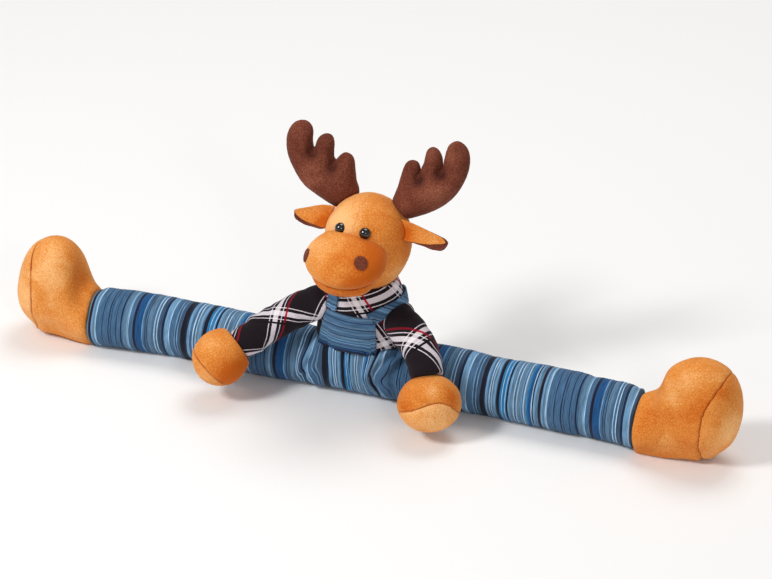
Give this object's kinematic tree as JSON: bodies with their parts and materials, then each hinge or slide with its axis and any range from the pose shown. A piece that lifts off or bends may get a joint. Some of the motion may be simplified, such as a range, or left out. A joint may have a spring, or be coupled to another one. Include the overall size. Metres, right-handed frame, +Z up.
{
  "type": "draught excluder",
  "caption": "Stuffed plush elk in dungarees and a plaid shirt, whose long striped legs lie as a roll along the foot of a door.",
  "frame": {"origin": "centre of the bounding box at floor level", "axes": "+Z up, +X along the legs towards the elk's left foot, -Y the way the elk faces"},
  "size_m": [0.8572, 0.1536, 0.3137],
  "materials": {
    "striped_denim": "woven cotton in many blue, white and black stripes, matt",
    "orange_plush": "short-pile orange velour plush, soft sheen",
    "plaid_flannel": "brushed flannel in a black, white and red tartan, matt",
    "brown_plush": "short-pile brown velour plush, soft sheen",
    "black_bead": "black moulded bead, glossy"
  },
  "bodies": {
    "root": {"trouser_tube": "striped_denim", "bib": "striped_denim", "strap_left": "striped_denim", "strap_right": "striped_denim", "foot_left": "orange_plush", "foot_right": "orange_plush", "sole_left": "orange_plush", "sole_right": "orange_plush", "shirt_body": "plaid_flannel", "sleeve_left": "plaid_flannel", "sleeve_right": "plaid_flannel", "hand_left": "orange_plush", "hand_right": "orange_plush", "palm_left": "orange_plush", "palm_right": "orange_plush", "head": "orange_plush", "muzzle": "orange_plush", "chin": "orange_plush", "nostril_left": "brown_plush", "nostril_right": "brown_plush", "eye_left": "black_bead", "eye_right": "black_bead", "ear_left": "orange_plush", "ear_right": "orange_plush", "ear_back_left": "brown_plush", "ear_back_right": "brown_plush", "antler_left": "brown_plush", "antler_right": "brown_plush"}
  },
  "joints": []
}
